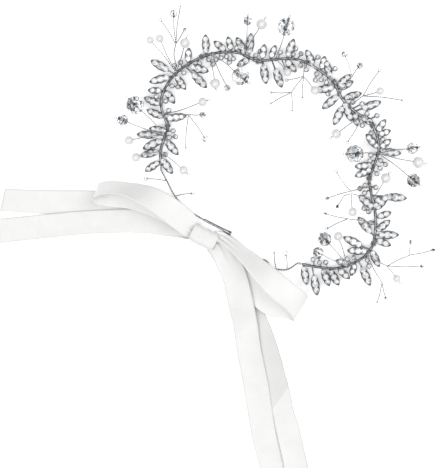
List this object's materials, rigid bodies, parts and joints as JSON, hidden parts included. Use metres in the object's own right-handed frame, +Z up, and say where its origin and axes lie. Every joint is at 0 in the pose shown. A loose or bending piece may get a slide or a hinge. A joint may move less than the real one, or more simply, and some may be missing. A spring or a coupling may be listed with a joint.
{
  "type": "hair vine crown",
  "caption": "Bridal hair crown: cast leaf sprays with clear stones lashed into an open ring, wire sprigs of pearls and crystals, tied at the back with a satin ribbon bow",
  "frame": {"origin": "the middle of the object's footprint as it lies face up on a table, at the table's surface", "axes": "+Z up through the face, +Y from the bow's tails towards the front of the crown, +X to the wearer's side on the right of the face-up view"},
  "size_m": [0.2345, 0.25, 0.0162],
  "materials": {
    "silver_cast": "polished silver plate on cast alloy",
    "silver_wire": "bright silver-plated craft wire",
    "crystal": "clear cut glass",
    "pearl": "white pearl coating",
    "satin": "white satin ribbon"
  },
  "bodies": {
    "bow_end": {"spray_1": "silver_cast", "lashing_1": "silver_wire", "end_wire_left": "silver_wire", "bow_knot": "satin", "bow_loop_left": "satin", "bow_loop_right": "satin", "tail_left_upper": "satin", "tail_left_lower": "satin", "tail_down_left": "satin", "tail_down_right": "satin", "ribbon_link": "satin", "sprig_2": "silver_wire"},
    "vine_2": {"spray_2": "silver_cast", "lashing_2": "silver_wire"},
    "vine_3": {"spray_3": "silver_cast", "lashing_3": "silver_wire", "sprig_6": "silver_wire"},
    "vine_4": {"spray_4": "silver_cast", "lashing_4": "silver_wire", "sprig_7": "silver_wire"},
    "vine_5": {"spray_5": "silver_cast", "lashing_5": "silver_wire", "sprig_9": "silver_wire", "sprig_11": "silver_wire"},
    "vine_6": {"spray_6": "silver_cast", "lashing_6": "silver_wire"},
    "vine_7": {"spray_7": "silver_cast", "lashing_7": "silver_wire", "sprig_13": "silver_wire", "sprig_14": "silver_wire", "sprig_15": "silver_wire"},
    "vine_8": {"spray_8": "silver_cast", "end_wire_right": "silver_wire", "sprig_16": "silver_wire"},
    "twig_1": {"sprig_1": "silver_wire"},
    "crystal_1_bead": {"crystal_1": "crystal"},
    "crystal_2_bead": {"crystal_2": "crystal"},
    "pearl_1_bead": {"pearl_1": "pearl"},
    "twig_3": {"sprig_3": "silver_wire"},
    "pearl_2_bead": {"pearl_2": "pearl"},
    "twig_4": {"sprig_4": "silver_wire"},
    "pearl_3_bead": {"pearl_3": "pearl"},
    "twig_5": {"sprig_5": "silver_wire"},
    "pearl_4_bead": {"pearl_4": "pearl"},
    "crystal_3_bead": {"crystal_3": "crystal"},
    "crystal_4_bead": {"crystal_4": "crystal"},
    "pearl_5_bead": {"pearl_5": "pearl"},
    "crystal_5_bead": {"crystal_5": "crystal"},
    "twig_8": {"sprig_8": "silver_wire"},
    "twig_10": {"sprig_10": "silver_wire"},
    "pearl_6_bead": {"pearl_6": "pearl"},
    "twig_12": {"sprig_12": "silver_wire"},
    "crystal_6_bead": {"crystal_6": "crystal"},
    "crystal_7_bead": {"crystal_7": "crystal"},
    "pearl_7_bead": {"pearl_7": "pearl"},
    "crystal_8_bead": {"crystal_8": "crystal"},
    "pearl_8_bead": {"pearl_8": "pearl"},
    "crystal_9_bead": {"crystal_9": "crystal"},
    "twig_17": {"sprig_17": "silver_wire"},
    "pearl_9_bead": {"pearl_9": "pearl"}
  },
  "joints": [
    {"name": "bend_1", "type": "hinge", "parent": "bow_end", "child": "vine_2", "pos_m": [-0.01604, 0.06458, 0.0028], "axis": [0, 0, 1], "range_deg": [-7.4, 7.4]},
    {"name": "bend_2", "type": "hinge", "parent": "vine_2", "child": "vine_3", "pos_m": [0.00072, 0.09878, 0.0028], "axis": [0, 0, 1], "range_deg": [-2.1, 2.1]},
    {"name": "bend_3", "type": "hinge", "parent": "vine_3", "child": "vine_4", "pos_m": [0.02878, 0.09664, 0.0028], "axis": [0, 0, 1], "range_deg": [-10, 10]},
    {"name": "bend_4", "type": "hinge", "parent": "vine_4", "child": "vine_5", "pos_m": [0.06674, 0.08662, 0.0028], "axis": [0, 0, 1], "range_deg": [-1, 1]},
    {"name": "bend_5", "type": "hinge", "parent": "vine_5", "child": "vine_6", "pos_m": [0.08604, 0.06458, 0.0028], "axis": [0, 0, 1], "range_deg": [-9.2, 9.2]},
    {"name": "bend_6", "type": "hinge", "parent": "vine_6", "child": "vine_7", "pos_m": [0.08435, 0.03818, 0.0028], "axis": [0, 0, 1], "range_deg": [-6.5, 6.5]},
    {"name": "bend_7", "type": "hinge", "parent": "vine_7", "child": "vine_8", "pos_m": [0.08655, 0.00573, 0.0028], "axis": [0, 0, 1], "range_deg": [-10, 10]},
    {"name": "sprig_1_sway", "type": "hinge", "parent": "bow_end", "child": "twig_1", "pos_m": [-0.01748, 0.05978, 0.0064], "axis": [0, 0, 1], "range_deg": [-12, 12]},
    {"name": "crystal_1_spin", "type": "hinge", "parent": "twig_1", "child": "crystal_1_bead", "pos_m": [-0.03197, 0.07428, 0.0105], "axis": [-0.6934, 0.6934, 0.1961], "continuous": true},
    {"name": "crystal_2_spin", "type": "hinge", "parent": "twig_1", "child": "crystal_2_bead", "pos_m": [-0.03828, 0.06695, 0.007], "axis": [-0.9452, 0.3254, 0.0273], "continuous": true},
    {"name": "pearl_1_spin", "type": "hinge", "parent": "bow_end", "child": "pearl_1_bead", "pos_m": [-0.00803, 0.04215, 0.0075], "axis": [0.7751, -0.6276, 0.0731], "continuous": true},
    {"name": "sprig_3_sway", "type": "hinge", "parent": "vine_2", "child": "twig_3", "pos_m": [-0.01813, 0.06967, 0.0064], "axis": [0, 0, 1], "range_deg": [-12, 12]},
    {"name": "pearl_2_spin", "type": "hinge", "parent": "twig_3", "child": "pearl_2_bead", "pos_m": [0.00137, 0.076, 0.008], "axis": [0.9482, 0.3081, 0.0778], "continuous": true},
    {"name": "sprig_4_sway", "type": "hinge", "parent": "vine_2", "child": "twig_4", "pos_m": [-0.01177, 0.09077, 0.0064], "axis": [0, 0, 1], "range_deg": [-12, 12]},
    {"name": "pearl_3_spin", "type": "hinge", "parent": "twig_4", "child": "pearl_3_bead", "pos_m": [-0.00738, 0.10512, 0.009], "axis": [0.2881, 0.9423, 0.1708], "continuous": true},
    {"name": "sprig_5_sway", "type": "hinge", "parent": "vine_3", "child": "twig_5", "pos_m": [0.00598, 0.10041, 0.0064], "axis": [0, 0, 1], "range_deg": [-12, 12]},
    {"name": "pearl_4_spin", "type": "hinge", "parent": "twig_5", "child": "pearl_4_bead", "pos_m": [0.0076, 0.085, 0.009], "axis": [0.1031, -0.9808, 0.1654], "continuous": true},
    {"name": "crystal_3_spin", "type": "hinge", "parent": "twig_5", "child": "crystal_3_bead", "pos_m": [0.02015, 0.08852, 0.009], "axis": [0.7586, -0.6365, 0.1392], "continuous": true},
    {"name": "crystal_4_spin", "type": "hinge", "parent": "vine_3", "child": "crystal_4_bead", "pos_m": [0.02362, 0.11627, 0.008], "axis": [0.0868, 0.9915, 0.0965], "continuous": true},
    {"name": "pearl_5_spin", "type": "hinge", "parent": "vine_3", "child": "pearl_5_bead", "pos_m": [0.03068, 0.11456, 0.008], "axis": [0.4978, 0.8622, 0.0937], "continuous": true},
    {"name": "crystal_5_spin", "type": "hinge", "parent": "vine_4", "child": "crystal_5_bead", "pos_m": [0.04284, 0.11321, 0.009], "axis": [0.3053, 0.9395, 0.1557], "continuous": true},
    {"name": "sprig_8_sway", "type": "hinge", "parent": "vine_4", "child": "twig_8", "pos_m": [0.05248, 0.09609, 0.0064], "axis": [0, 0, 1], "range_deg": [-8, 12]},
    {"name": "sprig_10_sway", "type": "hinge", "parent": "vine_5", "child": "twig_10", "pos_m": [0.07431, 0.0744, 0.0064], "axis": [0, 0, 1], "range_deg": [-12, 12]},
    {"name": "pearl_6_spin", "type": "hinge", "parent": "vine_5", "child": "pearl_6_bead", "pos_m": [0.06766, 0.06012, 0.007], "axis": [-0.8285, -0.5588, 0.0375], "continuous": true},
    {"name": "sprig_12_sway", "type": "hinge", "parent": "vine_6", "child": "twig_12", "pos_m": [0.08868, 0.05065, 0.0064], "axis": [0, 0, 1], "range_deg": [-12, 12]},
    {"name": "crystal_6_spin", "type": "hinge", "parent": "twig_12", "child": "crystal_6_bead", "pos_m": [0.07668, 0.05023, 0.0095], "axis": [-0.9676, -0.0338, 0.2501], "continuous": true},
    {"name": "crystal_7_spin", "type": "hinge", "parent": "twig_12", "child": "crystal_7_bead", "pos_m": [0.10551, 0.05302, 0.0075], "axis": [0.9882, 0.1389, 0.0646], "continuous": true},
    {"name": "pearl_7_spin", "type": "hinge", "parent": "twig_12", "child": "pearl_7_bead", "pos_m": [0.10865, 0.04604, 0.0065], "axis": [0.9744, -0.2249, 0.0049], "continuous": true},
    {"name": "crystal_8_spin", "type": "hinge", "parent": "twig_12", "child": "crystal_8_bead", "pos_m": [0.10601, 0.03711, 0.008], "axis": [0.7859, -0.614, 0.0725], "continuous": true},
    {"name": "pearl_8_spin", "type": "hinge", "parent": "vine_7", "child": "pearl_8_bead", "pos_m": [0.09217, 0.03809, 0.009], "axis": [0.5169, 0.8272, 0.2205], "continuous": true},
    {"name": "crystal_9_spin", "type": "hinge", "parent": "vine_8", "child": "crystal_9_bead", "pos_m": [0.06187, 0.00799, 0.0115], "axis": [-0.6171, 0.7354, 0.2798], "continuous": true},
    {"name": "sprig_17_sway", "type": "hinge", "parent": "vine_8", "child": "twig_17", "pos_m": [0.08295, 0.00034, 0.0064], "axis": [0, 0, 1], "range_deg": [-12, 12]},
    {"name": "pearl_9_spin", "type": "hinge", "parent": "twig_17", "child": "pearl_9_bead", "pos_m": [0.09784, -0.01172, 0.0065], "axis": [0.6145, -0.7865, -0.0624], "continuous": true}
  ],
  "couplings": [
    {"joint": "bend_1", "follows": "bend_3", "ratio": -0.74},
    {"joint": "bend_2", "follows": "bend_3", "ratio": 0.21},
    {"joint": "bend_4", "follows": "bend_3", "ratio": 0.1},
    {"joint": "bend_5", "follows": "bend_3", "ratio": -0.92},
    {"joint": "bend_6", "follows": "bend_3", "ratio": -0.65},
    {"joint": "bend_7", "follows": "bend_3", "ratio": 1}
  ]
}
